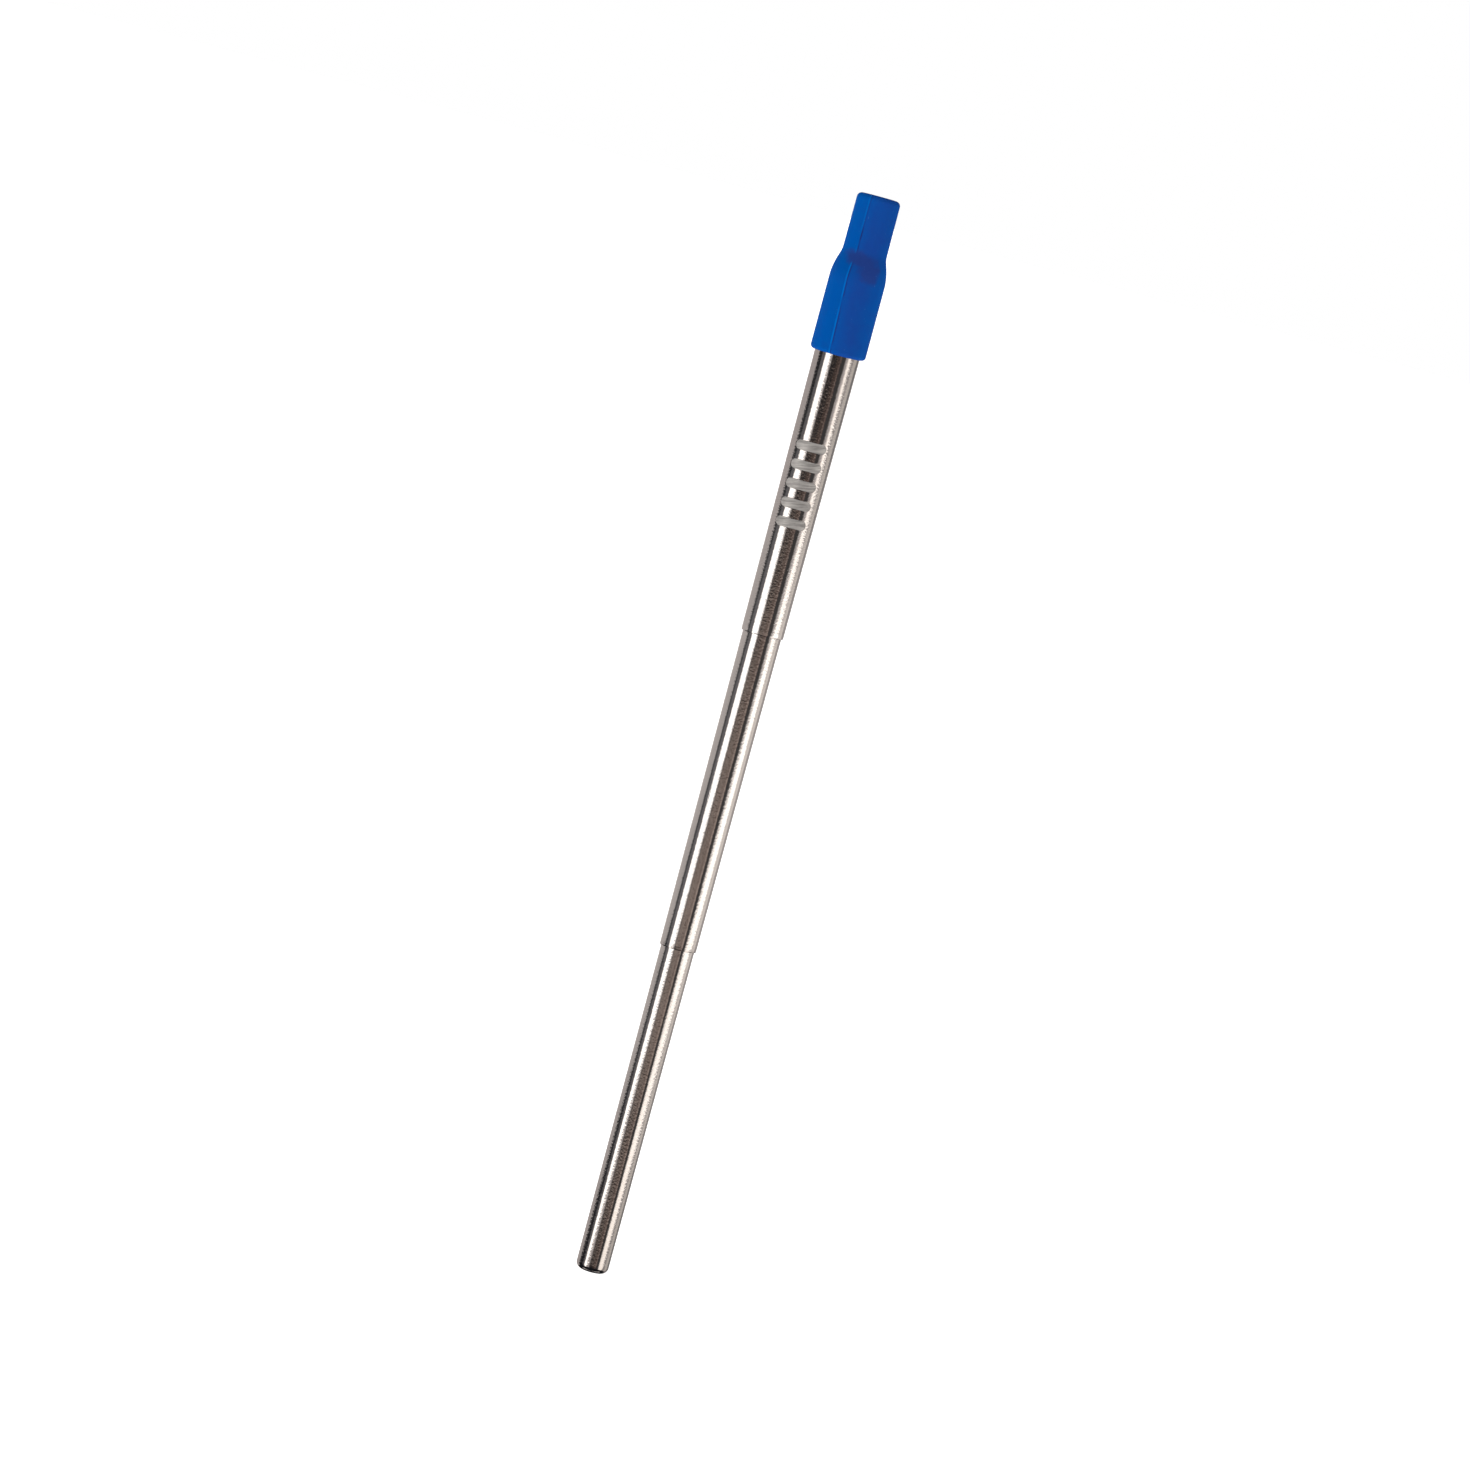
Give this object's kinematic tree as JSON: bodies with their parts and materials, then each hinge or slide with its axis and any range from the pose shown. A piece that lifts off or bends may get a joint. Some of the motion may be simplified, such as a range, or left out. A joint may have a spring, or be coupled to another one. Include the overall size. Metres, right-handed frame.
{
  "type": "telescopic drinking straw",
  "caption": "Pocket drinking straw of tapered steel tubes that slide into each other, with a soft silicone mouthpiece that pulls off for cleaning.",
  "frame": {"origin": "centre of the straw's foot, on the flat of its turned-in lip", "axes": "+Z along the straw from the foot to the mouth; the flattened sides of the mouth face +Y and -Y"},
  "size_m": [0.0104, 0.0104, 0.205],
  "materials": {
    "silicone": "satin",
    "steel": "polished",
    "polymer": "matte",
    "seal": "satin"
  },
  "bodies": {
    "inner_section": {"inner_tube": "steel", "inner_seal_ring": "seal"},
    "inner_sleeve": {"inner_friction_sleeve": "polymer"},
    "middle_section": {"middle_tube": "steel", "middle_seal_ring": "seal"},
    "middle_sleeve": {"middle_friction_sleeve": "polymer"},
    "outer_section": {"outer_tube": "steel"},
    "mouthpiece": {"mouthpiece": "silicone"}
  },
  "joints": [
    {"name": "lower_turn", "type": "hinge", "parent": "inner_section", "child": "inner_sleeve", "pos_m": [0, 0, 0.065], "axis": [0, 0, 1], "continuous": true},
    {"name": "lower_slide", "type": "slide", "parent": "inner_sleeve", "child": "middle_section", "axis": [0, 0, -1], "range_m": [0, 0.0514]},
    {"name": "upper_turn", "type": "hinge", "parent": "middle_section", "child": "middle_sleeve", "pos_m": [0, 0, 0.125], "axis": [0, 0, 1], "continuous": true},
    {"name": "upper_slide", "type": "slide", "parent": "middle_sleeve", "child": "outer_section", "axis": [0, 0, -1], "range_m": [0, 0.0578]},
    {"name": "mouthpiece_pull", "type": "slide", "parent": "outer_section", "child": "mouthpiece", "axis": [0, 0, 1], "range_m": [0, 0.02]}
  ]
}
